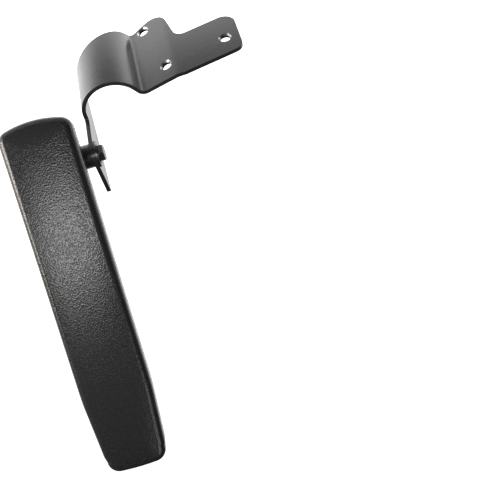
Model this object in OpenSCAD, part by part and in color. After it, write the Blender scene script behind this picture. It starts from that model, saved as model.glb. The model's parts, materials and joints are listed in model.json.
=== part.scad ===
// Flip-up chair armrest: a long moulded pad that swings on one lateral bolt,
// carried by a bent steel strip that bolts to the back of a chair's backrest.
// +X points from the pad to the middle of the chair, -Y forward, +Z up. The
// origin is the centre of the tongue's bolt hole, on the face that meets the chair.

/* [Mounting strip] */
// Thickness of the steel strip
strip_t = 3.5; // [3:0.5:5]
// Outside radius of the arch
arch_r = 27.5; // [24:0.5:32]
// Angle that the arch turns through, from the side plate to its straight flank
arch_turn = 147; // [144:1:150]
// Length of the straight flank between the arch and the crease
flank_len = 4.2; // [3:0.2:6]
// Radius on the hollow side of the crease
crease_r = 5; // [4:0.5:6]
// Slope of the ramp between the crease and the tongue
ramp_rise = 15; // [12:1:18]
// Length of the flat of the ramp
ramp_len = 27; // [24:1:30]
// Radius of the gentle bend between ramp and tongue
bend_r = 21; // [15:1:30]
// Length of the flat tongue
tongue_len = 57; // [54:1:60]
// Width of the strip where the arch leaves the side plate
arch_w = 50.5; // [46:0.5:54]
// Width of the strip at the wing
wing_w = 93; // [88:1:98]
// Width of the tongue
tongue_w = 50; // [46:1:54]
// How far the tongue leans down over its length
tongue_skew = 12.5; // [8:0.5:15]

/* [Side plate] */
// Depth of the side plate along its upper edge
side_depth = 52; // [48:1:58]
// Step between the arch's rear edge and the side plate's shoulder
side_step = 4; // [3:0.5:5]
// Height of the side plate above the arch's upper edge
side_top = 43; // [40:1:46]
// Radius of the eye around the pivot
eye_r = 11.5; // [11:0.5:12.5]

/* [Mounting holes] */
// Diameter of the three bolt holes
bolt_hole_d = 8.8; // [8.4:0.2:9]
// Width of the bare bevel around each hole
hole_bevel = 1.2; // [0.8:0.1:1.4]

/* [Pad] */
// Overall length of the pad
pad_len = 297; // [290:1:310]
// Width of the pad over its straight part
pad_w = 60; // [58:1:64]
// Thickness of the pad
pad_h = 25; // [24:1:28]
// Width that each side loses at the front end
pad_taper = 4.8; // [3:0.2:6]
// Length of the tapered front end
pad_taper_len = 66; // [50:1:80]
// How far the rear end bulges
pad_rear_bulge = 5.5; // [3:0.5:7]
// Length of pad behind the pivot
pad_behind = 37.5; // [36:0.5:42]
// Gap between the pad's side and the side plate
pad_gap = 4; // [3.5:0.5:5]
// Height of the pad's underside above the pivot
pad_lift = 13; // [13:0.5:15]

/* [Travel] */
// Angle of the pad above level at rest
rest_lift = 45; // [30:1:60]
// Angle of the pad above level when stowed
stowed_lift = 90; // [85:1:95]

/* [Pivot] */
// Diameter of the pivot bolt
pivot_d = 8; // [8:0.5:8]
// Outside diameter of the spacer sleeve
sleeve_d = 20; // [18:0.5:21]
// Diameter of the large washers
washer_d = 22; // [20:1:22]
// Diameter of the stop pin
stop_d = 6; // [5:0.5:6]
// Distance from the pivot to the stop pin
stop_reach = 17; // [16.5:0.5:18]

/* [Pad bracket] */
// Thickness of the bracket under the pad
shelf_t = 3; // [3:0.5:3.5]
// Length of its shelf
shelf_len = 148; // [140:1:170]
// Width of its shelf
shelf_w = 41; // [38:1:44]
// Radius of its flange around the pivot
flange_r = 25; // [25:0.5:27]

/* [Hidden] */
$fn = 96;
corner_steps = 8;        // straight pieces in each rounded corner of an outline
arch_steps = 60;
crease_steps = 16;
fit = 0.05;              // running clearance of parts that turn on each other
over = 1;                // how far a cutter runs past what it cuts

// Centre line of the strip, seen from above: x across the chair, y to the rear.
// x = 0 is the side plate's face towards the pad.
arch_end = [arch_r - arch_r * cos(arch_turn), arch_r * sin(arch_turn)];
flank_end = arch_end + flank_len * [sin(arch_turn), cos(arch_turn)];
crease_centre = flank_end + crease_r * [-cos(arch_turn), sin(arch_turn)];
ramp_dir = [cos(ramp_rise), sin(ramp_rise)];
ramp_side = [-sin(ramp_rise), cos(ramp_rise)];
ramp_start = crease_centre - crease_r * ramp_side;
ramp_end = ramp_start + ramp_len * ramp_dir;
bend_centre = ramp_end - bend_r * ramp_side;
tongue_start = bend_centre + [0, bend_r];
tongue_end_x = tongue_start[0] + tongue_len;
tongue_back_y = tongue_start[1];

// Heights are measured from the arch's upper edge, z = 0
side_low = -arch_w;
pivot_y = -side_step - eye_r;
pivot_z = side_top - eye_r;
strip_low = -120;
strip_high = 60;

// Bolt holes: distance along the strip and height
tongue_hole = [tongue_start[0] + 44, -29.5];
upper_hole = [-5.5, -18];
wing_hole = [-18.8, -77.5];
hole_r = bolt_hole_d / 2;
origin = [tongue_hole[0], tongue_back_y - strip_t, tongue_hole[1]];

// Pad, in its level position about the pivot: -y is forward
pad_in = -pad_gap;
pad_out = -pad_gap - pad_w;
pad_mid = (pad_in + pad_out) / 2;
pad_rear = pad_behind;
pad_front = pad_behind - pad_len;
pad_corner_r = 9;
pad_front_bow = 1.5;
board_h = 6;
board_edge = 8;
board_front = pad_front + 30;
board_rear = pad_rear - 16;

// Pad bracket: a shelf under the pad and a flange beside the sleeve
flange_t = 3.5;
flange_face = -16.5;
shelf_rear = 28;
shelf_front = shelf_rear - shelf_len;
shelf_top = pad_lift;
shelf_low = pad_lift - shelf_t;
fold_r = 5;
screw_rows = [shelf_front + 12, shelf_rear - 16];
screw_cols = [flange_face - 10.5, flange_face - shelf_w + 10];
screw_d = 6;
screw_len = 14;
lock_washer_t = 1.5;

// Pivot stack, along x from the pad to the chair
bush_flange_t = 1.2;
flat_t = 1.5;
spring_t = 1.1;
head_t = 3.8;
hex_flats = 13;
nut_t = 6;
collar_t = 2;
flat_x = strip_t + fit;
spring_x = flat_x + flat_t;
head_x = spring_x + spring_t;
nut_washer_x = flange_face - flange_t - flat_t;
nut_x = nut_washer_x - nut_t;
bolt_tip_x = nut_x - collar_t - 2;
bush_r = 6;

// Stop pin: its direction from the pivot is fixed on the chair's side
stop_angle = 218;
stop_clear = 0.3;
stop_end_x = flange_face - flange_t - 1.5;
slot_from = stop_angle;
slot_to = slot_from + stowed_lift;
slot_extra = asin(stop_clear / stop_reach);

// ---------- helpers ----------
function unit(v) = v / norm(v);

// Points of a rounded corner at b, between a and c
function corner(a, b, c, r) =
    let (u = unit(a - b), v = unit(c - b), half = acos(u * v) / 2,
         centre = b + unit(u + v) * r / sin(half),
         first = b + u * r / tan(half) - centre,
         last = b + v * r / tan(half) - centre,
         from = atan2(first[1], first[0]),
         turn = atan2(last[1], last[0]) - from,
         sweep = turn > 180 ? turn - 360 : turn < -180 ? turn + 360 : turn)
    [for (i = [0 : corner_steps]) centre + r * [cos(from + sweep * i / corner_steps),
                                                sin(from + sweep * i / corner_steps)]];

// Points along an arc from one angle to another
function arc(centre, r, from, to, steps) = [for (i = [0 : steps])
    let (a = from + (to - from) * i / steps) centre + r * [cos(a), sin(a)]];

// Outline from corners [x, y, radius]
function rounded(p) = let (n = len(p)) [for (i = [0 : n - 1])
    let (a = p[(i + n - 1) % n], b = p[i], c = p[(i + 1) % n])
    each b[2] == 0 ? [[b[0], b[1]]]
                   : corner([a[0], a[1]], [b[0], b[1]], [c[0], c[1]], b[2])];

// A round bar along +x from x0, of radius r and length len
module bar(x0, len, r) translate([x0, 0, 0]) rotate([0, 90, 0]) cylinder(h = len, r = r);

module ring(x0, len, outer_r, inner_r) difference() {
    bar(x0, len, outer_r);
    bar(x0 - over, len + 2 * over, inner_r);
}

// A hexagonal bar along +x, across its flats
module hex_bar(x0, len, flats) translate([x0, 0, 0]) rotate([0, 90, 0])
    cylinder(h = len, d = flats / cos(30), $fn = 6);

// Moves a shape drawn about the strip's own corner into the part's frame
module in_strip() translate(-origin) children();

// Moves a shape drawn about the pivot into the part's frame
module at_pivot() in_strip() translate([0, pivot_y, pivot_z]) children();

// The same for what swings, drawn with the pad level
module on_pad() at_pivot() rotate([-rest_lift, 0, 0]) children();

// ---------- mounting strip ----------
// The strip's section seen from above: its rear face one way, its front face back
function strip_section() = concat(
    [[0, -side_step / 2], [0, 0]],
    arc([arch_r, 0], arch_r, 180, 180 - arch_turn, arch_steps),
    arc(crease_centre, crease_r, 360 - arch_turn, 270 + ramp_rise, crease_steps),
    arc(bend_centre, bend_r, 90 + ramp_rise, 90, corner_steps),
    [[tongue_end_x, tongue_back_y], [tongue_end_x, tongue_back_y - strip_t]],
    arc(bend_centre, bend_r - strip_t, 90, 90 + ramp_rise, corner_steps),
    arc(crease_centre, crease_r + strip_t, 270 + ramp_rise, 360 - arch_turn, crease_steps),
    arc([arch_r, 0], arch_r - strip_t, 180 - arch_turn, 180, arch_steps),
    [[strip_t, -side_step / 2]]);

// The strip's outline seen from behind, x across and z up
module strip_outline() {
    crease_w = arch_w + (wing_w - arch_w) * 0.74;
    polygon(rounded([
        [-over, 0, 0],
        [tongue_start[0] + 3, 0, 25],
        [tongue_end_x, -tongue_skew, 9],
        [tongue_end_x, -tongue_skew - tongue_w, 11],
        [tongue_start[0] + 4, -tongue_w, 8],
        [ramp_end[0] + 1, -wing_w - 1, 13],
        [ramp_start[0] + 1, -crease_w, 40],
        [-over, -arch_w + 0.5, 0]]));
}

// The side plate's outline, y front to back and z up: its front edge leans forward
module side_outline() polygon(rounded([
    [0, side_low, 0],
    [-side_step, side_low, 4],
    [-side_depth, side_top, 1.5],
    [-side_step, side_top, eye_r],
    [-side_step, 0, 3],
    [0, 0, 0]]));

module bolt_hole() translate([0, 0, -over - strip_t]) {
    cylinder(h = strip_t + 2 * over, r = hole_r);
    translate([0, 0, over + strip_t - hole_bevel])
        cylinder(h = hole_bevel + 0.01, r1 = hole_r, r2 = hole_r + hole_bevel);
}

// A hole through the ramp, at [distance from the ramp's end, height]
module ramp_hole(place) translate([ramp_end[0], ramp_end[1], place[1]])
    rotate([0, 0, ramp_rise]) translate([place[0], 0, 0]) rotate([-90, 0, 0]) bolt_hole();

module mounting_strip() color([0.10, 0.10, 0.11]) in_strip() difference() {
    union() {
        intersection() {
            translate([0, 0, strip_low]) linear_extrude(strip_high - strip_low)
                polygon(strip_section());
            translate([0, strip_high, 0]) rotate([90, 0, 0])
                linear_extrude(2 * strip_high) strip_outline();
        }
        rotate([90, 0, 90]) linear_extrude(strip_t) side_outline();
    }
    translate([tongue_hole[0], tongue_back_y, tongue_hole[1]]) rotate([-90, 0, 0]) bolt_hole();
    ramp_hole(upper_hole);
    ramp_hole(wing_hole);
    translate([0, pivot_y, pivot_z]) {
        bar(-over, strip_t + 2 * over, bush_r);
        rotate([stop_angle, 0, 0]) translate([0, stop_reach, 0])
            bar(-over, strip_t + 2 * over, stop_d / 2);
    }
}

// ---------- pieces fixed to the strip ----------
module pivot_bush() color([0.85, 0.84, 0.78]) at_pivot() difference() {
    union() {
        bar(-bush_flange_t, bush_flange_t, sleeve_d / 2);
        bar(0, strip_t, bush_r);
    }
    bar(-over - bush_flange_t, strip_t + bush_flange_t + 2 * over, pivot_d / 2 + fit);
}

module stop_pin() color([0.55, 0.56, 0.58]) at_pivot()
    rotate([stop_angle, 0, 0]) translate([0, stop_reach, 0])
    bar(stop_end_x, strip_t - stop_end_x, stop_d / 2);

// ---------- pivot stack, turning with the pad ----------
washer_hole_r = pivot_d / 2 + 0.2;

module flat_washer() color([0.16, 0.16, 0.17]) on_pad()
    ring(flat_x, flat_t, washer_d / 2, washer_hole_r);

// A coned disc spring: high at its bore, on the flat washer at its rim
module spring_washer() color([0.22, 0.22, 0.24]) on_pad() {
    rim_r = washer_d / 2 - 3;
    thick = 0.7;
    rise = spring_t - thick;
    difference() {
        translate([spring_x, 0, 0]) rotate([0, 90, 0]) union() {
            cylinder(h = thick, r = rim_r);
            translate([0, 0, thick]) cylinder(h = rise, r1 = rim_r, r2 = washer_hole_r + 1.5);
        }
        translate([spring_x - 0.01, 0, 0]) rotate([0, 90, 0])
            cylinder(h = rise, r1 = rim_r - 1, r2 = washer_hole_r + 0.5);
        bar(spring_x - over, spring_t + 2 * over, washer_hole_r);
    }
}

module pivot_bolt() color([0.14, 0.14, 0.15]) on_pad() {
    bar(bolt_tip_x, head_x - bolt_tip_x, pivot_d / 2);
    intersection() {
        hex_bar(head_x, head_t, hex_flats);
        union() {
            bar(head_x, head_t - 0.8, hex_flats);
            translate([head_x + head_t - 0.8, 0, 0]) rotate([0, 90, 0])
                cylinder(h = 0.8, r1 = hex_flats / 2 + 1.1, r2 = hex_flats / 2 - 0.5);
        }
    }
}

module spacer_sleeve() color([0.10, 0.10, 0.11]) on_pad()
    ring(flange_face, -flange_face - bush_flange_t - fit, sleeve_d / 2, washer_hole_r);

module nut_washer() color([0.6, 0.61, 0.63]) on_pad()
    ring(nut_washer_x, flat_t, washer_d / 2 - 3, washer_hole_r);

module pivot_locknut() color([0.6, 0.61, 0.63]) on_pad() difference() {
    union() {
        hex_bar(nut_x, nut_t, hex_flats);
        bar(nut_x - collar_t, collar_t, hex_flats / 2 - 0.3);
    }
    bar(nut_x - collar_t - over, nut_t + collar_t + 2 * over, pivot_d / 2);
    bar(nut_x - collar_t + 0.4, collar_t - 0.4, pivot_d / 2 + 1);
}

module locknut_collar() color([0.2, 0.35, 0.6]) on_pad()
    ring(nut_x - collar_t + 0.4, collar_t - 0.4, pivot_d / 2 + 1, pivot_d / 2);

// ---------- bracket under the pad ----------
module flange_outline() polygon(rounded([
    [-flange_r - 8, shelf_low - fold_r + shelf_t, 0],
    [-flange_r, -2, 12],
    [-flange_r, -flange_r, flange_r - 2],
    [flange_r, -flange_r, flange_r - 2],
    [flange_r, -2, 4],
    [shelf_rear - 0.5, shelf_low - fold_r + shelf_t, 0]]));

// The fold between shelf and flange: a quarter ring along the pad
module flange_fold(from, to) translate([flange_face - fold_r, from, shelf_top - fold_r])
    rotate([-90, 0, 0]) rotate([0, 0, -90]) rotate_extrude(angle = 90)
    translate([fold_r - shelf_t, 0]) square([shelf_t, to - from]);

// The arc that the stop pin runs in
module stop_slot() {
    slot_r = stop_d / 2 + stop_clear;
    rotate([slot_from - slot_extra, 0, 0]) rotate([0, 90, 0]) rotate([0, 0, 90])
        translate([0, 0, flange_face - flange_t - over])
        rotate_extrude(angle = slot_to - slot_from + 2 * slot_extra)
        translate([stop_reach - slot_r, 0]) square([2 * slot_r, flange_t + 2 * over]);
    for (a = [slot_from - slot_extra, slot_to + slot_extra])
        rotate([a, 0, 0]) translate([0, stop_reach, 0])
        bar(flange_face - flange_t - over, flange_t + 2 * over, slot_r);
}

module at_screws() for (x = screw_cols, y = screw_rows) translate([x, y, 0]) children();

module pad_bracket() color([0.12, 0.12, 0.13]) on_pad() difference() {
    union() {
        translate([0, 0, shelf_low]) linear_extrude(shelf_t) polygon(rounded([
            [flange_face - fold_r, shelf_front, 4],
            [flange_face - fold_r, shelf_rear, 0],
            [flange_face - shelf_w, shelf_rear, 6],
            [flange_face - shelf_w, shelf_front, 6]]));
        flange_fold(-flange_r - 7.5, shelf_rear);
        translate([flange_face - flange_t, 0, 0]) rotate([90, 0, 90])
            linear_extrude(flange_t) flange_outline();
    }
    bar(flange_face - flange_t - over, flange_t + 2 * over, pivot_d / 2 + 0.1);
    stop_slot();
    at_screws() translate([0, 0, shelf_low - over])
        cylinder(h = shelf_t + 2 * over, d = screw_d + 0.6);
}

module pad_screws() color([0.14, 0.14, 0.15]) on_pad() at_screws() difference() {
    union() {
        translate([0, 0, shelf_low - lock_washer_t])
            cylinder(h = screw_len, d = screw_d);
        translate([0, 0, shelf_low - lock_washer_t - 2]) cylinder(h = 2, d = 11);
        translate([0, 0, shelf_low - lock_washer_t - 3.2]) cylinder(h = 1.2, d1 = 7.5, d2 = 11);
    }
    translate([0, 0, shelf_low - lock_washer_t - 3.3]) cylinder(h = 2.3, d = 4, $fn = 6);
}

module screw_lock_washers() color([0.5, 0.5, 0.52]) on_pad() at_screws()
    translate([0, 0, shelf_low - lock_washer_t]) difference() {
        cylinder(h = lock_washer_t, d = 10);
        translate([0, 0, -over]) cylinder(h = lock_washer_t + 2 * over, d = screw_d + 0.4);
    }

// ---------- inside the pad ----------
insert_d = 9;
insert_flange_t = 1.5;
insert_flange_d = 16;
board_top = pad_lift + board_h;

module threaded_inserts() color([0.75, 0.72, 0.55]) on_pad() at_screws() difference() {
    union() {
        translate([0, 0, pad_lift]) cylinder(h = board_h, d = insert_d);
        translate([0, 0, board_top]) cylinder(h = insert_flange_t, d = insert_flange_d);
    }
    translate([0, 0, pad_lift - over])
        cylinder(h = board_h + insert_flange_t + 2 * over, d = screw_d);
}

module board_outline() polygon(rounded([
    [pad_in - board_edge, board_rear, 6],
    [pad_out + board_edge, board_rear, 6],
    [pad_out + board_edge, board_front, 8],
    [pad_in - board_edge, board_front, 8]]));

module insert_board() color([0.16, 0.15, 0.14]) on_pad() difference() {
    translate([0, 0, pad_lift]) linear_extrude(board_h) board_outline();
    at_screws() translate([0, 0, pad_lift - over])
        cylinder(h = board_h + 2 * over, d = insert_d);
}

// Corners of one end of the pad, which bows outwards; side is 1 at the rear, -1 at the front
function bowed_end(y, half, bow, side, r) =
    let (bow_r = (half * half + bow * bow) / (2 * bow), turn = asin(0.6 * half / bow_r),
         corner_y = y - side * (bow_r - bow_r * cos(turn) + 0.4 * half * tan(turn)),
         points = arc([pad_mid, y - side * bow_r], bow_r,
                      side * 90 - turn, side * 90 + turn, corner_steps))
    concat([[pad_mid + side * half, corner_y, r]],
           [for (p = points) [p[0], p[1], 0]],
           [[pad_mid - side * half, corner_y, r]]);

module pad_outline() {
    shoulder = pad_front + pad_taper_len;
    polygon(rounded(concat(
        bowed_end(pad_rear, pad_w / 2, pad_rear_bulge, 1, pad_corner_r),
        [[pad_out, shoulder, 150]],
        bowed_end(pad_front, pad_w / 2 - pad_taper, pad_front_bow, -1, pad_corner_r + 1),
        [[pad_in, shoulder, 150]])));
}

module pad_cushion() color([0.09, 0.09, 0.09]) on_pad() difference() {
    translate([0, 0, pad_lift]) linear_extrude(pad_h) pad_outline();
    translate([0, 0, pad_lift - over]) linear_extrude(board_h + over) board_outline();
    at_screws() translate([0, 0, board_top - over])
        cylinder(h = over + 5, d = insert_flange_d);
}

mounting_strip();
pivot_bush();
stop_pin();
flat_washer();
spring_washer();
pivot_bolt();
spacer_sleeve();
pad_bracket();
nut_washer();
pivot_locknut();
locknut_collar();
pad_screws();
screw_lock_washers();
threaded_inserts();
insert_board();
pad_cushion();
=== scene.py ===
import json
import math
import bmesh
import bpy
from mathutils import Matrix, Vector, noise


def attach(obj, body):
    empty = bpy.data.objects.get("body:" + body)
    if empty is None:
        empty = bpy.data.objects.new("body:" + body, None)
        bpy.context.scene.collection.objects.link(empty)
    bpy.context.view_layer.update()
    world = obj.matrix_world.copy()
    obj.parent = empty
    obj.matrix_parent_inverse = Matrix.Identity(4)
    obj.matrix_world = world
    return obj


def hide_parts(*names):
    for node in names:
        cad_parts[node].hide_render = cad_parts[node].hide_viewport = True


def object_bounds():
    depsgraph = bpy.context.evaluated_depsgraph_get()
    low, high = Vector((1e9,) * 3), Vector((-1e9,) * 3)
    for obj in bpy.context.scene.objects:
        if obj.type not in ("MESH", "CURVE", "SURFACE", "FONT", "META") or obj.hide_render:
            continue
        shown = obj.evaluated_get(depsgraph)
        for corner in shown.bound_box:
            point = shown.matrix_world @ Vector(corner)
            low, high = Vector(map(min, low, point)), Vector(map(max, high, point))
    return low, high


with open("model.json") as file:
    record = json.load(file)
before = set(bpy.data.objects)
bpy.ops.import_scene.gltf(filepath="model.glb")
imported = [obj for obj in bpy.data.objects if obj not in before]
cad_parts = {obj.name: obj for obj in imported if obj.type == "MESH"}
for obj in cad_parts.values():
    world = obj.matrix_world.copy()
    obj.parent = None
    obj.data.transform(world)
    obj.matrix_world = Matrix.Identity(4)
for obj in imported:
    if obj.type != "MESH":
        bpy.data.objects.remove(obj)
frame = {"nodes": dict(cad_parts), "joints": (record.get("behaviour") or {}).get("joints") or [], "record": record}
cad_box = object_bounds()
MM = 0.001
PIVOT = Vector(frame["joints"][0]["pos_m"])
REST_LIFT = math.radians(45)  # the pad's angle above level at rest

# ---------------------------------------------------------------- materials


class Nodes:
    """Builds one node material around a Principled shader."""

    def __init__(self, name):
        self.mat = bpy.data.materials.new(name)
        self.mat.use_nodes = True
        self.tree = self.mat.node_tree
        self.shader = self.tree.nodes["Principled BSDF"]

    def add(self, kind, **settings):
        n = self.tree.nodes.new(kind)
        for key, value in settings.items():
            setattr(n, key, value)
        return n

    def link(self, a, b):
        self.tree.links.new(a, b)

    def put(self, socket, value):
        """Give an input a link, a number or an RGB colour."""
        if isinstance(value, bpy.types.NodeSocket):
            self.link(value, socket)
        elif socket.type == "RGBA":
            socket.default_value = (*value, 1)
        else:
            socket.default_value = value

    def place(self, scale=(1, 1, 1)):
        """Where the shaded point lies in the part's frame, in metres times scale."""
        coord = self.add("ShaderNodeTexCoord")
        mapping = self.add("ShaderNodeMapping")
        mapping.inputs["Scale"].default_value = scale
        self.link(coord.outputs["Object"], mapping.inputs["Vector"])
        return mapping.outputs["Vector"]

    def noise(self, where, scale, detail=3.0, rough=0.55):
        n = self.add("ShaderNodeTexNoise")
        n.inputs["Scale"].default_value = scale
        n.inputs["Detail"].default_value = detail
        n.inputs["Roughness"].default_value = rough
        self.link(where, n.inputs["Vector"])
        return n.outputs["Fac"]

    def cells(self, where, scale, smoothness):
        n = self.add("ShaderNodeTexVoronoi", feature="SMOOTH_F1")
        n.inputs["Scale"].default_value = scale
        n.inputs["Smoothness"].default_value = smoothness
        self.link(where, n.inputs["Vector"])
        return n.outputs["Distance"]

    def ramp(self, fac, stops):
        """stops: (position, RGB colour), from low to high."""
        n = self.add("ShaderNodeValToRGB")
        marks = n.color_ramp.elements
        while len(marks) < len(stops):
            marks.new(0.5)
        for mark, (pos, color) in zip(marks, stops):
            mark.position = pos
            mark.color = (*color, 1)
        self.link(fac, n.inputs["Fac"])
        return n.outputs["Color"]

    def remap(self, fac, lo, hi, from_lo=0.0, from_hi=1.0):
        n = self.add("ShaderNodeMapRange")
        for socket, value in (("From Min", from_lo), ("From Max", from_hi),
                              ("To Min", lo), ("To Max", hi)):
            n.inputs[socket].default_value = value
        self.link(fac, n.inputs["Value"])
        return n.outputs["Result"]

    def math(self, op, a, b=0.0):
        n = self.add("ShaderNodeMath", operation=op)
        self.put(n.inputs[0], a)
        self.put(n.inputs[1], b)
        return n.outputs[0]

    def vector(self, op, a, b=(0, 0, 0)):
        n = self.add("ShaderNodeVectorMath", operation=op)
        self.put(n.inputs[0], a)
        self.put(n.inputs[1], b)
        return n

    def mix(self, fac, a, b):
        n = self.add("ShaderNodeMix", data_type="RGBA")
        self.put(n.inputs["Factor"], fac)
        color_a, color_b = (socket for socket in n.inputs if socket.type == "RGBA")
        self.put(color_a, a)
        self.put(color_b, b)
        return next(socket for socket in n.outputs if socket.type == "RGBA")

    def bump(self, layers):
        """layers: (height socket, strength, distance in metres), laid over each other."""
        normal = None
        for height, strength, distance in layers:
            n = self.add("ShaderNodeBump")
            n.inputs["Strength"].default_value = strength
            n.inputs["Distance"].default_value = distance
            self.link(height, n.inputs["Height"])
            if normal is not None:
                self.link(normal, n.inputs["Normal"])
            normal = n.outputs["Normal"]
        self.link(normal, self.shader.inputs["Normal"])

    def edge_wear(self, low, high):
        """0 on flats, rising to 1 on sharp outer edges."""
        geometry = self.add("ShaderNodeNewGeometry")
        return self.remap(geometry.outputs["Pointiness"], 0.0, 1.0, low, high)

    def done(self, color, rough, **sockets):
        """Set the shader's inputs; Coat_Weight stands for the input Coat Weight."""
        self.put(self.shader.inputs["Base Color"], color)
        self.put(self.shader.inputs["Roughness"], rough)
        for name, value in sockets.items():
            self.put(self.shader.inputs[name.replace("_", " ")], value)
        return self.mat


def pad_skin():
    """Integral-skin foam: a fine pebbled grain, dull in its pits, with slow patches."""
    m = Nodes("pad_skin")
    p = m.place()
    pebble = m.cells(p, 760, 0.35)
    fine = m.noise(p, 1500, 2.0, 0.6)
    patch = m.noise(p, 24, 3.0, 0.5)
    grain = m.math("ADD", m.math("MULTIPLY", pebble, 0.75), m.math("MULTIPLY", fine, 0.5))
    speckle = m.ramp(grain, [(0.38, (0.001, 0.001, 0.0011)), (0.70, (0.024, 0.024, 0.026))])
    color = m.mix(m.remap(patch, 0.0, 0.2, 0.35, 0.7), speckle, (0.006, 0.006, 0.0065))
    rough = m.math("ADD", m.remap(patch, 0.24, 0.29, 0.3, 0.7),
                   m.remap(grain, 0.20, -0.10, 0.35, 0.7))
    m.bump([(patch, 0.02, 0.002), (pebble, 0.65, 0.00018), (fine, 0.55, 0.0001)])
    return m.done(color, rough, Specular_IOR_Level=0.5)


def powder_coat():
    """Satin black coating with orange peel, thin at the edges, bare on the holes' bevels."""
    m = Nodes("powder_coat")
    p = m.place()
    peel = m.noise(p, 420, 2.0, 0.5)
    dust = m.noise(p, 2600, 1.0, 0.5)
    patch = m.noise(p, 30, 3.0, 0.55)
    worn = m.edge_wear(0.53, 0.62)
    color = m.mix(m.remap(patch, 0.0, 1.0, 0.3, 0.7),
                  (0.022, 0.023, 0.028), (0.030, 0.030, 0.034))
    color = m.mix(m.math("MULTIPLY", worn, 0.3), color, (0.10, 0.10, 0.105))
    rough = m.math("ADD", m.remap(patch, 0.25, 0.32, 0.3, 0.7), m.remap(dust, -0.03, 0.03))
    m.bump([(peel, 0.2, 0.0002), (dust, 0.2, 0.00005)])
    rims = bolt_hole_rims(m)
    color = m.mix(rims, color, (0.4, 0.4, 0.41))
    return m.done(color, rough, Metallic=rims, Coat_Weight=0.2, Coat_Roughness=0.2,
                  Specular_IOR_Level=0.35)


# the bare bevel of a bolt hole, in metres: its radii, and how far below the face it goes
RIM_IN, RIM_OUT, RIM_DEPTH = 0.00446, 0.00562, 0.0011


def bolt_hole_rims(m):
    """1 on the bevels of the strip's bolt holes, which are the record's bore mounts."""
    where = m.add("ShaderNodeTexCoord").outputs["Object"]
    total = 0.0
    for mount in frame["record"]["mounts"]:
        if mount["kind"] != "bore":
            continue
        axis = Vector(mount["axis"]).normalized()
        offset = m.vector("SUBTRACT", where, mount["pos_m"]).outputs["Vector"]
        along = m.vector("DOT_PRODUCT", offset, axis).outputs["Value"]
        across = m.vector("CROSS_PRODUCT", offset, axis).outputs["Vector"]
        radius = m.vector("LENGTH", across).outputs["Value"]
        rim = m.math("LESS_THAN", radius, RIM_OUT)
        rim = m.math("MULTIPLY", rim, m.math("GREATER_THAN", radius, RIM_IN))
        rim = m.math("MULTIPLY", rim, m.math("GREATER_THAN", along, -RIM_DEPTH))
        total = m.math("MAXIMUM", total, rim)
    return total


def bare_steel(name, base, rough):
    """Turned or rolled metal with fine marks and slightly dirty patches."""
    m = Nodes(name)
    p = m.place()
    marks = m.noise(p, 900, 3.0, 0.6)
    patch = m.noise(p, 90, 3.0, 0.6)
    dirt = m.math("MULTIPLY", m.remap(patch, 0.0, 1.0, 0.4, 0.75), 0.4)
    color = m.mix(dirt, base, tuple(c * 0.55 for c in base))
    m.bump([(marks, 0.3, 0.00006), (patch, 0.1, 0.0002)])
    return m.done(color, m.remap(marks, rough - 0.06, rough + 0.08, 0.3, 0.7), Metallic=1.0)


def plastic(name, base, rough):
    """Moulded plastic with a fine grain and faint patches."""
    m = Nodes(name)
    p = m.place()
    fine = m.noise(p, 1500, 2.0)
    patch = m.noise(p, 120, 3.0)
    color = m.mix(m.remap(patch, 0.0, 1.0, 0.35, 0.7), base, tuple(c * 0.8 for c in base))
    m.bump([(fine, 0.2, 0.00005)])
    return m.done(color, m.remap(fine, rough - 0.05, rough + 0.05, 0.3, 0.7))


def plywood():
    """Pale wood, its grain drawn out along Y."""
    m = Nodes("plywood")
    p = m.place((60, 6, 60))
    grain = m.noise(p, 12, 4.0, 0.6)
    color = m.ramp(grain, [(0.35, (0.20, 0.13, 0.075)), (0.65, (0.38, 0.27, 0.16))])
    m.bump([(grain, 0.3, 0.0002)])
    return m.done(color, 0.7)


MATERIALS = {
    "powder_coat": powder_coat(),
    "black_sleeve": plastic("black_sleeve", (0.02, 0.02, 0.021), 0.38),
    "bush_plastic": plastic("bush_plastic", (0.02, 0.02, 0.02), 0.45),
    "zinc_steel": bare_steel("zinc_steel", (0.52, 0.52, 0.53), 0.32),
    "dark_steel": bare_steel("dark_steel", (0.10, 0.10, 0.105), 0.34),
    "spring_steel": bare_steel("spring_steel", (0.17, 0.17, 0.18), 0.3),
    "nylon": plastic("nylon", (0.05, 0.13, 0.35), 0.4),
    "plated_insert": bare_steel("plated_insert", (0.6, 0.5, 0.28), 0.3),
    "plywood": plywood(),
    "pad_skin": pad_skin(),
}
slot_of = {s["node"]: s["material_slot"] for s in frame["record"]["subparts"]}
for name, obj in frame["nodes"].items():
    for slot in obj.material_slots:
        slot.material = MATERIALS[slot_of[name]]

# ---------------------------------------------------------------- mesh helpers


def new_mesh(name, bm):
    """Turn bm into a smooth mesh, and free it."""
    mesh = bpy.data.meshes.new(name)
    bm.to_mesh(mesh)
    bm.free()
    for face in mesh.polygons:
        face.use_smooth = True
    return mesh


def body_of(node):
    bodies = frame["record"]["behaviour"]["bodies"]
    return next(body for body, nodes in bodies.items() if node in nodes)


def stand_in(name, mesh, node):
    """Show mesh in place of a CAD node, on its body and with its material."""
    obj = bpy.data.objects.new(name, mesh)
    bpy.context.scene.collection.objects.link(obj)
    mesh.materials.append(MATERIALS[slot_of[node]])
    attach(obj, body_of(node))
    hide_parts(node)
    return obj


# ---------------------------------------------------------------- pad
# The pad is worked out in its level frame: mm from the pivot, with the pad level.


def to_rest(point):
    return PIVOT + Matrix.Rotation(-REST_LIFT, 3, "X") @ (Vector(point) * MM)


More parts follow.
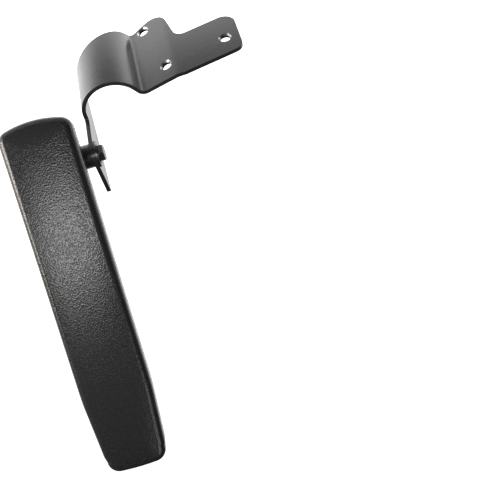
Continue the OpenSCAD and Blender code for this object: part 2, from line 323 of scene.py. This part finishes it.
def level_box(node):
    """The low and high corners of a CAD node in the level frame."""
    turn = Matrix.Rotation(REST_LIFT, 3, "X")
    points = [turn @ (v.co - PIVOT) / MM for v in frame["nodes"][node].data.vertices]
    return [Vector(pick(p[i] for p in points) for i in range(3)) for pick in (min, max)]


(PAD_OUT, PAD_FRONT, PAD_LOW), (PAD_IN, PAD_REAR, PAD_TOP) = level_box("pad_cushion")
PAD_MID = (PAD_IN + PAD_OUT) / 2
HALF = (PAD_IN - PAD_OUT) / 2
TAPER, TAPER_LEN = 4.8, 66.0  # how much each side comes in at the front, over what length
TAPER_BLEND = 0.12            # share of that length over which the side starts to bend
# each end: its y, the way it faces, how far it bows out, its corners' radius
PAD_ENDS = [(PAD_REAR, 1, 5.5, 9.5), (PAD_FRONT, -1, 1.5, 10.5)]
LOW_R, TOP_R = 3.0, 6.5       # radii of the underside's edge and the top's edge
DRAFT = 1.2                   # how far the wall comes in towards the underside
CROWN = 1.1                   # rise of the top's middle over its edge
SAG = 0.35                    # depth of the top's slow waves
BOARD_LOW, BOARD_HIGH = level_box("insert_board")
BOARD_R, BOARD_GAP = 7.0, 0.1  # radius of its corners, and the foam's gap round it
# rings face a middle line that ends this far inside the board, and inside the pad
BOARD_SPINE_END = 12.0
REAR_SPINE_END, FRONT_SPINE_END = HALF * 0.9, HALF * 0.85
MIDDLE_STRIP = 0.03           # share of the way out at which the top's last ring lies
CORNER_STEPS, BOW_STEPS, SIDE_STEPS, TOP_STEPS = 14, 16, 64, 18
ROUND_COUNT = 360             # points in each ring round the pad


def half_width(y):
    """Half width of the pad at y: straight, then tapering to the front."""
    t = (PAD_FRONT + TAPER_LEN - y) / TAPER_LEN
    if t < -TAPER_BLEND:
        return HALF
    if t < TAPER_BLEND:
        return HALF - TAPER * (t + TAPER_BLEND) ** 2 / (4 * TAPER_BLEND)
    return HALF - TAPER * t


def end_points(y_end, side, bow, r):
    """One end of the pad, counterclockwise: a corner, the bow and the other corner."""
    half = half_width(y_end)
    bow_r = (half * half + bow * bow) / (2 * bow)
    bow_y = y_end - side * bow_r
    # a corner's centre is r inside the bow and r inside the straight side
    x = half - r
    y = bow_y + side * math.sqrt((bow_r - r) ** 2 - x * x)
    bow_start = abs(math.atan2(y - bow_y, x))
    lean = math.atan2(TAPER, TAPER_LEN) if side < 0 else 0.0
    corner, middle = [], []
    for i in range(CORNER_STEPS + 1):
        a = -lean + (bow_start + lean) * i / CORNER_STEPS
        corner.append((x + r * math.cos(a), y + side * r * math.sin(a)))
    for i in range(1, BOW_STEPS):
        a = bow_start + (math.pi - 2 * bow_start) * i / BOW_STEPS
        middle.append((bow_r * math.cos(a), bow_y + side * bow_r * math.sin(a)))
    points = corner + middle + [(-px, py) for px, py in reversed(corner)]
    return [(side * px, py) for px, py in points]


def evenly_spaced(ring, count):
    """The closed ring again, with count points the same distance apart."""
    closed = ring + [ring[0]]
    lengths = [0.0]
    for a, b in zip(closed, closed[1:]):
        lengths.append(lengths[-1] + (b - a).length)
    out, k = [], 0
    for i in range(count):
        want = lengths[-1] * i / count
        while lengths[k + 1] < want:
            k += 1
        t = (want - lengths[k]) / (lengths[k + 1] - lengths[k])
        out.append(closed[k].lerp(closed[k + 1], t))
    return out


def outline(count):
    """Points round the pad, counterclockwise, with their outward normals."""
    rear, front = (end_points(*end) for end in PAD_ENDS)
    y0, y1 = rear[-1][1], front[0][1]
    side_y = [y0 + (y1 - y0) * i / SIDE_STEPS for i in range(1, SIDE_STEPS)]
    left = [(-half_width(y), y) for y in side_y]
    right = [(-x, y) for x, y in reversed(left)]
    ring = [Vector((x + PAD_MID, y)) for x, y in rear + left + front + right]
    ring = evenly_spaced(ring, count)
    along = [ring[(i + 1) % count] - ring[i - 1] for i in range(count)]
    return ring, [Vector((d.y, -d.x)).normalized() for d in along]


def pad_profile():
    """Inset and height, from the underside's edge up round to the top's edge."""
    wall = PAD_TOP - PAD_LOW - LOW_R - TOP_R
    top_y = PAD_TOP - CROWN - TOP_R
    points = []
    for i in range(6):
        a = math.pi / 2 * i / 5
        points.append((DRAFT + LOW_R - LOW_R * math.sin(a), PAD_LOW + LOW_R - LOW_R * math.cos(a)))
    for i in range(1, 8):
        t = i / 8
        points.append((DRAFT * (1 - t) ** 1.5, PAD_LOW + LOW_R + wall * t))
    for i in range(13):
        a = math.pi / 2 * i / 12
        points.append((TOP_R - TOP_R * math.cos(a), top_y + TOP_R * math.sin(a)))
    return points


def spine_point(p, rear, front):
    """The point of the middle line, cut off at rear and front, that a ring's point faces."""
    return Vector((PAD_MID, min(rear, max(front, p.y))))


def to_board_edge(start, end):
    """How far along start to end the way leaves the board's rounded outline, from 0 to 1."""
    mid = (BOARD_LOW + BOARD_HIGH).xy / 2
    half = (BOARD_HIGH - BOARD_LOW).xy / 2
    inside, outside = 0.0, 1.0
    for _ in range(24):
        t = (inside + outside) / 2
        w = start + (end - start) * t - mid
        past = Vector((max(0.0, abs(w[i]) - half[i] + BOARD_R) for i in range(2)))
        if past.length > BOARD_R + BOARD_GAP:
            outside = t
        else:
            inside = t
    return inside


def underside_rings(outer, edge):
    """Rings from the middle of the board's pocket out to the edge, which isn't among them."""
    roof = BOARD_HIGH.z + BOARD_GAP
    spokes = []
    for p, q in zip(outer, edge):
        c = spine_point(p, BOARD_HIGH.y - BOARD_SPINE_END, BOARD_LOW.y + BOARD_SPINE_END)
        spokes.append((q, c, c + (q - c) * to_board_edge(c, q)))
    # the pocket: the share of the way to its side, how far out past that, the height
    pocket = [(0.05, 0.0, roof), (0.5, 0.0, roof), (1.0, 0.0, roof), (1.0, 0.0, PAD_LOW + 0.8),
              (1.0, 0.25, PAD_LOW + 0.2), (1.0, 0.8, PAD_LOW)]
    rings = []
    for share, out, z in pocket:
        rings.append([(*(c + (e - c) * share + (q - c).normalized() * out), z)
                      for q, c, e in spokes])
    for share in (0.3, 0.7):
        rings.append([(*(e + (q - e) * share), PAD_LOW) for q, c, e in spokes])
    return rings


def top_rings(outer, edge):
    """Rings from the top's edge, which isn't among them, over the crown to the middle."""
    rings = []
    for i in range(1, TOP_STEPS + 1):
        f = max(MIDDLE_STRIP, 1 - i / TOP_STEPS)
        ring = []
        for p, q in zip(outer, edge):
            c = spine_point(p, PAD_REAR - REAR_SPINE_END, PAD_FRONT + FRONT_SPINE_END)
            w = c + (q - c) * f
            wave = SAG * noise.noise(Vector((w.x * 0.02, w.y * 0.012, 3.0))) * (1 - f ** 4)
            ring.append((*w, PAD_TOP - CROWN * f ** 2.6 + min(0.0, wave)))
        rings.append(ring)
    return rings


def make_pad():
    """The moulded pad: a closed, crowned solid with the board's pocket in its underside."""
    outer, normals = outline(ROUND_COUNT)
    profile = pad_profile()

    def inset(distance):
        return [p - n * distance for p, n in zip(outer, normals)]

    points = underside_rings(outer, inset(profile[0][0]))
    points += [[(*p, z) for p in inset(distance)] for distance, z in profile]
    points += top_rings(outer, inset(profile[-1][0]))

    bm = bmesh.new()
    rings = [[bm.verts.new(to_rest(p)) for p in ring] for ring in points]
    for a, b in zip(rings, rings[1:]):
        for i in range(ROUND_COUNT):
            bm.faces.new((a[i - 1], a[i], b[i], b[i - 1]))
    # close the narrow strips that are left along the middle
    for strip in (rings[0], rings[-1]):
        edges = [bm.edges.get((strip[i - 1], strip[i])) for i in range(ROUND_COUNT)]
        bmesh.ops.triangle_fill(bm, use_beauty=True, edges=edges)
    bmesh.ops.remove_doubles(bm, verts=bm.verts, dist=0.00002)
    bmesh.ops.dissolve_degenerate(bm, dist=0.00001, edges=bm.edges)
    bmesh.ops.recalc_face_normals(bm, faces=bm.faces)
    return stand_in("armrest_pad", new_mesh("armrest_pad", bm), "pad_cushion")


# ---------------------------------------------------------------- metal
SHARP = math.radians(35)      # edges over this angle are rounded
CREASE = math.radians(30)     # edges over this angle stay hard in the shading
FLAT_AREA = 1.3e-4            # faces over this area, in square metres, are flat ones


def rounded_copy(node, name, width):
    """A copy of a CAD node whose sharp edges are rounded, as a deburred, coated part's are."""
    bm = bmesh.new()
    bm.from_mesh(frame["nodes"][node].data)
    bmesh.ops.remove_doubles(bm, verts=bm.verts, dist=1e-6)
    bmesh.ops.dissolve_limit(bm, angle_limit=math.radians(0.4), verts=bm.verts, edges=bm.edges)
    mesh = new_mesh(name, bm)
    mesh.set_sharp_from_angle(angle=CREASE)
    for face in mesh.polygons:
        face.use_smooth = face.area < FLAT_AREA
    obj = stand_in(name, mesh, node)
    bevel = obj.modifiers.new("edges", "BEVEL")
    bevel.width = width * MM
    bevel.segments = 2
    bevel.limit_method = "ANGLE"
    bevel.angle_limit = SHARP
    bevel.use_clamp_overlap = True
    weighted = obj.modifiers.new("normals", "WEIGHTED_NORMAL")
    weighted.mode = "FACE_AREA"
    weighted.weight = 100
    weighted.keep_sharp = True


rounded_copy("mounting_strip", "strip_rounded", 0.45)
rounded_copy("pad_bracket", "pad_bracket_rounded", 0.4)
make_pad()

# ---------------------------------------------------------------- stage


def area_light(name, place, target, size, power, color=(1, 1, 1)):
    """A light of size (width, height) in metres that the camera doesn't see."""
    light = bpy.data.lights.new(name, "AREA")
    light.energy = power
    light.color = color
    light.shape = "RECTANGLE"
    light.size, light.size_y = size
    obj = bpy.data.objects.new(name, light)
    obj.location = place
    obj.rotation_euler = (Vector(target) - Vector(place)).to_track_quat("-Z", "Y").to_euler()
    obj.visible_camera = False
    bpy.context.scene.collection.objects.link(obj)
    return obj


FLOOR_DROP = 0.04             # how far the floor is below the part
FLOOR_HALF = 3.0
GLOW = 2.1                    # the floor's glow where it is brightest
GLOW_Y = 0.15                 # the glow changes between -GLOW_Y and GLOW_Y
WORLD_LIGHT = 0.06            # what the world lights the part with


def floor_material():
    """Pale floor that glows as a light table does, and is clear from below.

    The camera sees it plain white. For the part it fades out behind, which gives the
    strip's rear faces their bright and dark bands.
    """
    m = Nodes("floor")
    patch = m.noise(m.place(), 3, 2.0)
    color = m.mix(m.remap(patch, 0, 1, 0.3, 0.7), (0.90, 0.90, 0.90), (0.92, 0.92, 0.92))
    split = m.add("ShaderNodeSeparateXYZ")
    m.link(m.place(), split.inputs[0])
    level = m.ramp(m.remap(split.outputs["Y"], 0.0, 1.0, -GLOW_Y, GLOW_Y),
                   [(0.0, (0.45,) * 3), (0.25, (0.55,) * 3), (0.45, (1.0,) * 3),
                    (0.64, (1.0,) * 3), (0.82, (0.02,) * 3)])
    seen = m.add("ShaderNodeLightPath").outputs["Is Camera Ray"]
    m.done(color, 0.9, Emission_Color=(1, 1, 1),
           Emission_Strength=m.math("MAXIMUM", m.math("MULTIPLY", level, GLOW), seen))
    either = m.add("ShaderNodeMixShader")
    m.link(m.add("ShaderNodeNewGeometry").outputs["Backfacing"], either.inputs[0])
    m.link(m.shader.outputs[0], either.inputs[1])
    m.link(m.add("ShaderNodeBsdfTransparent").outputs[0], either.inputs[2])
    m.link(either.outputs[0], m.tree.nodes["Material Output"].inputs["Surface"])
    return m.mat


def make_floor():
    bm = bmesh.new()
    place = Matrix.Translation((0, 0, cad_box[0].z - FLOOR_DROP))
    bmesh.ops.create_grid(bm, x_segments=2, y_segments=2, size=FLOOR_HALF, matrix=place)
    mesh = new_mesh("floor", bm)
    mesh.materials.append(floor_material())
    obj = bpy.data.objects.new("floor", mesh)
    bpy.context.scene.collection.objects.link(obj)


def make_world():
    """White where the camera sees it, and almost dark for the part."""
    world = bpy.data.worlds.new("world")
    world.use_nodes = True
    tree = world.node_tree
    sky = tree.nodes["Background"]
    sky.inputs["Color"].default_value = (1, 1, 1, 1)
    seen = tree.nodes.new("ShaderNodeLightPath")
    strength = tree.nodes.new("ShaderNodeMapRange")
    strength.inputs["To Min"].default_value = WORLD_LIGHT
    strength.inputs["To Max"].default_value = 1.0
    tree.links.new(seen.outputs["Is Camera Ray"], strength.inputs["Value"])
    tree.links.new(strength.outputs["Result"], sky.inputs["Strength"])
    bpy.context.scene.world = world


make_floor()
make_world()
bpy.context.scene.view_settings.view_transform = "Standard"

area_light("overhead", (0.6, 0.2, 1.8), (-0.05, 0, 0), (1.0, 1.0), 7)
area_light("key", (-0.25, 0.245, 0.45), (-0.168, -0.045, 0.130), (0.26, 0.09), 0.75)
area_light("left", (-1.2, 0.45, 0.3), (-0.1, 0, 0), (0.6, 0.6), 18, (1.0, 0.94, 0.86))

# ---------------------------------------------------------------- camera
CAMERA_PLACE = (-0.0387, 0.3939, 0.5286)
CAMERA_RIGHT = Vector((0.9614, -0.1564, 0.2264))
CAMERA_FORWARD = Vector((0.0149, -0.7921, -0.6103))


def make_camera():
    camera = bpy.data.cameras.new("camera")
    camera.sensor_width = 36
    camera.lens = 53.3
    forward = CAMERA_FORWARD.normalized()
    right = CAMERA_RIGHT.normalized()
    right = (right - forward * right.dot(forward)).normalized()
    turn = Matrix((right, right.cross(forward), -forward)).transposed().to_4x4()
    obj = bpy.data.objects.new("camera", camera)
    obj.matrix_world = Matrix.Translation(CAMERA_PLACE) @ turn
    bpy.context.scene.collection.objects.link(obj)
    bpy.context.scene.camera = obj


make_camera()
